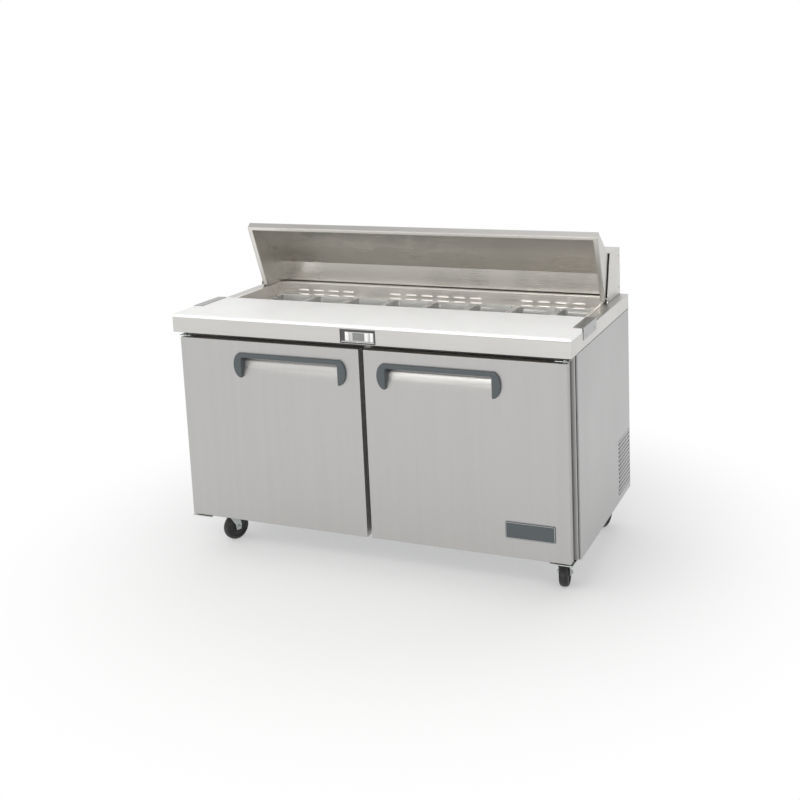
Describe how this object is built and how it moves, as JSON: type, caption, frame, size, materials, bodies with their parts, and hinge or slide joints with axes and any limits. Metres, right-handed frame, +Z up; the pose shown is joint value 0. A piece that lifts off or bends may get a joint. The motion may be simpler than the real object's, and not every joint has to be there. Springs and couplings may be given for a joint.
{
  "type": "sandwich prep table",
  "caption": "Refrigerated sandwich prep table on casters with two doors, recessed food pan rail, full-width cutting board and a hinged hood lid shown open.",
  "frame": {"origin": "centre of the footprint at floor level, under the casters", "axes": "+X to the right along the length, +Y to the back, +Z up; the doors face -Y"},
  "size_m": [1.5326, 0.7616, 1.1998],
  "materials": {
    "worktop_steel": "brushed stainless, grain along the length",
    "liner_steel": "brushed stainless, brighter and smoother",
    "door_steel": "brushed stainless, upright grain",
    "side_steel": "brushed stainless, upright grain, a little duller",
    "galvanised_steel": "galvanised, faint spangle",
    "zinc_plate": "bright zinc plate",
    "coated_wire": "epoxy-coated wire",
    "cutting_board_white": "white polyethylene, fine knife marks",
    "handle_plastic": "dark slate moulded plastic",
    "bezel_plastic": "dark grey moulded plastic",
    "key_plastic": "pale key caps",
    "door_liner_plastic": "white moulded liner",
    "gasket_rubber": "dark magnetic gasket",
    "wheel_rubber": "black caster tread and hub",
    "black_enamel": "black enamel",
    "fin_aluminium": "finned coil and motor bracket",
    "clear_pan": "clear polycarbonate food pan"
  },
  "bodies": {
    "cabinet": {"worktop_frame": "worktop_steel", "pan_well": "liner_steel", "rear_housing": "worktop_steel", "board_clip_left": "worktop_steel", "board_clip_right": "worktop_steel", "side_panel_left": "side_steel", "side_panel_right": "side_steel", "back_panel": "galvanised_steel", "base_panel": "galvanised_steel", "inner_liner": "liner_steel", "front_frame": "door_steel", "controller_housing": "bezel_plastic", "hinge_bracket_upper_left": "zinc_plate", "hinge_bracket_lower_left": "zinc_plate", "hinge_bracket_upper_right": "zinc_plate", "hinge_bracket_lower_right": "zinc_plate", "compressor": "black_enamel", "condenser_coil": "fin_aluminium", "evaporator_coil": "liner_steel"},
    "lid": {"lid_shell": "worktop_steel", "lid_liner": "liner_steel"},
    "door_left": {"door_panel_left": "door_steel", "door_liner_left": "door_liner_plastic", "door_gasket_left": "gasket_rubber", "door_handle_left": "handle_plastic"},
    "door_right": {"door_panel_right": "door_steel", "door_liner_right": "door_liner_plastic", "door_gasket_right": "gasket_rubber", "door_handle_right": "handle_plastic", "name_plate_blank": "handle_plastic"},
    "cutting_board": {"cutting_board": "cutting_board_white"},
    "shelf_left": {"shelf_left": "coated_wire"},
    "shelf_right": {"shelf_right": "coated_wire"},
    "condenser_fan": {"condenser_fan": "zinc_plate"},
    "controller_key_left": {"controller_key_left": "key_plastic"},
    "controller_key_right": {"controller_key_right": "key_plastic"},
    "pan_front_1": {"pan_front_1": "clear_pan"},
    "pan_front_2": {"pan_front_2": "clear_pan"},
    "pan_front_3": {"pan_front_3": "clear_pan"},
    "pan_front_4": {"pan_front_4": "clear_pan"},
    "pan_front_5": {"pan_front_5": "clear_pan"},
    "pan_front_6": {"pan_front_6": "clear_pan"},
    "pan_front_7": {"pan_front_7": "clear_pan"},
    "pan_front_8": {"pan_front_8": "clear_pan"},
    "pan_rear_1": {"pan_rear_1": "clear_pan"},
    "pan_rear_2": {"pan_rear_2": "clear_pan"},
    "pan_rear_3": {"pan_rear_3": "clear_pan"},
    "pan_rear_4": {"pan_rear_4": "clear_pan"},
    "pan_rear_5": {"pan_rear_5": "clear_pan"},
    "pan_rear_6": {"pan_rear_6": "clear_pan"},
    "pan_rear_7": {"pan_rear_7": "clear_pan"},
    "pan_rear_8": {"pan_rear_8": "clear_pan"},
    "caster_swivel_front_left": {"caster_fork_front_left": "zinc_plate"},
    "caster_wheel_front_left": {"caster_wheel_front_left": "wheel_rubber"},
    "caster_swivel_front_right": {"caster_fork_front_right": "zinc_plate"},
    "caster_wheel_front_right": {"caster_wheel_front_right": "wheel_rubber"},
    "caster_swivel_rear_left": {"caster_fork_rear_left": "zinc_plate"},
    "caster_wheel_rear_left": {"caster_wheel_rear_left": "wheel_rubber"},
    "caster_swivel_rear_right": {"caster_fork_rear_right": "zinc_plate"},
    "caster_wheel_rear_right": {"caster_wheel_rear_right": "wheel_rubber"}
  },
  "joints": [
    {"name": "lid_hinge", "type": "hinge", "parent": "cabinet", "child": "lid", "pos_m": [0, 0.19775, 0.937], "axis": [-1, 0, 0], "range_deg": [-70, 0]},
    {"name": "door_left_hinge", "type": "hinge", "parent": "cabinet", "child": "door_left", "pos_m": [-0.733, -0.34925, 0.5], "axis": [0, 0, -1], "range_deg": [0, 110]},
    {"name": "door_right_hinge", "type": "hinge", "parent": "cabinet", "child": "door_right", "pos_m": [0.733, -0.34925, 0.5], "axis": [0, 0, 1], "range_deg": [0, 110]},
    {"name": "board_slide", "type": "slide", "parent": "cabinet", "child": "cutting_board", "axis": [0, -1, 0], "range_m": [0, 0.18]},
    {"name": "pan_front_1_lift", "type": "slide", "parent": "cabinet", "child": "pan_front_1", "axis": [0, 0, 1], "range_m": [0, 0.11]},
    {"name": "pan_front_2_lift", "type": "slide", "parent": "cabinet", "child": "pan_front_2", "axis": [0, 0, 1], "range_m": [0, 0.11]},
    {"name": "pan_front_3_lift", "type": "slide", "parent": "cabinet", "child": "pan_front_3", "axis": [0, 0, 1], "range_m": [0, 0.11]},
    {"name": "pan_front_4_lift", "type": "slide", "parent": "cabinet", "child": "pan_front_4", "axis": [0, 0, 1], "range_m": [0, 0.11]},
    {"name": "pan_front_5_lift", "type": "slide", "parent": "cabinet", "child": "pan_front_5", "axis": [0, 0, 1], "range_m": [0, 0.11]},
    {"name": "pan_front_6_lift", "type": "slide", "parent": "cabinet", "child": "pan_front_6", "axis": [0, 0, 1], "range_m": [0, 0.11]},
    {"name": "pan_front_7_lift", "type": "slide", "parent": "cabinet", "child": "pan_front_7", "axis": [0, 0, 1], "range_m": [0, 0.11]},
    {"name": "pan_front_8_lift", "type": "slide", "parent": "cabinet", "child": "pan_front_8", "axis": [0, 0, 1], "range_m": [0, 0.11]},
    {"name": "pan_rear_1_lift", "type": "slide", "parent": "cabinet", "child": "pan_rear_1", "axis": [0, 0, 1], "range_m": [0, 0.11]},
    {"name": "pan_rear_2_lift", "type": "slide", "parent": "cabinet", "child": "pan_rear_2", "axis": [0, 0, 1], "range_m": [0, 0.11]},
    {"name": "pan_rear_3_lift", "type": "slide", "parent": "cabinet", "child": "pan_rear_3", "axis": [0, 0, 1], "range_m": [0, 0.11]},
    {"name": "pan_rear_4_lift", "type": "slide", "parent": "cabinet", "child": "pan_rear_4", "axis": [0, 0, 1], "range_m": [0, 0.11]},
    {"name": "pan_rear_5_lift", "type": "slide", "parent": "cabinet", "child": "pan_rear_5", "axis": [0, 0, 1], "range_m": [0, 0.11]},
    {"name": "pan_rear_6_lift", "type": "slide", "parent": "cabinet", "child": "pan_rear_6", "axis": [0, 0, 1], "range_m": [0, 0.11]},
    {"name": "pan_rear_7_lift", "type": "slide", "parent": "cabinet", "child": "pan_rear_7", "axis": [0, 0, 1], "range_m": [0, 0.11]},
    {"name": "pan_rear_8_lift", "type": "slide", "parent": "cabinet", "child": "pan_rear_8", "axis": [0, 0, 1], "range_m": [0, 0.11]},
    {"name": "shelf_left_lift", "type": "slide", "parent": "cabinet", "child": "shelf_left", "axis": [0, 0, 1], "range_m": [0, 0.06]},
    {"name": "shelf_right_lift", "type": "slide", "parent": "cabinet", "child": "shelf_right", "axis": [0, 0, 1], "range_m": [0, 0.06]},
    {"name": "caster_front_left_swivel", "type": "hinge", "parent": "cabinet", "child": "caster_swivel_front_left", "pos_m": [-0.68, -0.24425, 0.14], "axis": [0, 0, 1], "continuous": true},
    {"name": "caster_front_left_roll", "type": "hinge", "parent": "caster_swivel_front_left", "child": "caster_wheel_front_left", "pos_m": [-0.66689, -0.2118, 0.051], "axis": [0.9272, -0.3746, 0], "continuous": true},
    {"name": "caster_front_right_swivel", "type": "hinge", "parent": "cabinet", "child": "caster_swivel_front_right", "pos_m": [0.68, -0.24425, 0.14], "axis": [0, 0, 1], "continuous": true},
    {"name": "caster_front_right_roll", "type": "hinge", "parent": "caster_swivel_front_right", "child": "caster_wheel_front_right", "pos_m": [0.67513, -0.20959, 0.051], "axis": [0.9903, 0.1392, 0], "continuous": true},
    {"name": "caster_rear_left_swivel", "type": "hinge", "parent": "cabinet", "child": "caster_swivel_rear_left", "pos_m": [-0.68, 0.34275, 0.14], "axis": [0, 0, 1], "continuous": true},
    {"name": "caster_rear_left_roll", "type": "hinge", "parent": "caster_swivel_rear_left", "child": "caster_wheel_rear_left", "pos_m": [-0.68, 0.30775, 0.051], "axis": [-1, 0, 0], "continuous": true},
    {"name": "caster_rear_right_swivel", "type": "hinge", "parent": "cabinet", "child": "caster_swivel_rear_right", "pos_m": [0.68, 0.34275, 0.14], "axis": [0, 0, 1], "continuous": true},
    {"name": "caster_rear_right_roll", "type": "hinge", "parent": "caster_swivel_rear_right", "child": "caster_wheel_rear_right", "pos_m": [0.67094, 0.30894, 0.051], "axis": [-0.9659, 0.2588, 0], "continuous": true},
    {"name": "condenser_fan_spin", "type": "hinge", "parent": "cabinet", "child": "condenser_fan", "pos_m": [0.588, 0.27575, 0.275], "axis": [1, 0, 0], "continuous": true},
    {"name": "controller_key_left_press", "type": "slide", "parent": "cabinet", "child": "controller_key_left", "axis": [0, 1, 0], "range_m": [0, 0.001], "stiffness_N_per_m": 400},
    {"name": "controller_key_right_press", "type": "slide", "parent": "cabinet", "child": "controller_key_right", "axis": [0, 1, 0], "range_m": [0, 0.001], "stiffness_N_per_m": 400}
  ]
}
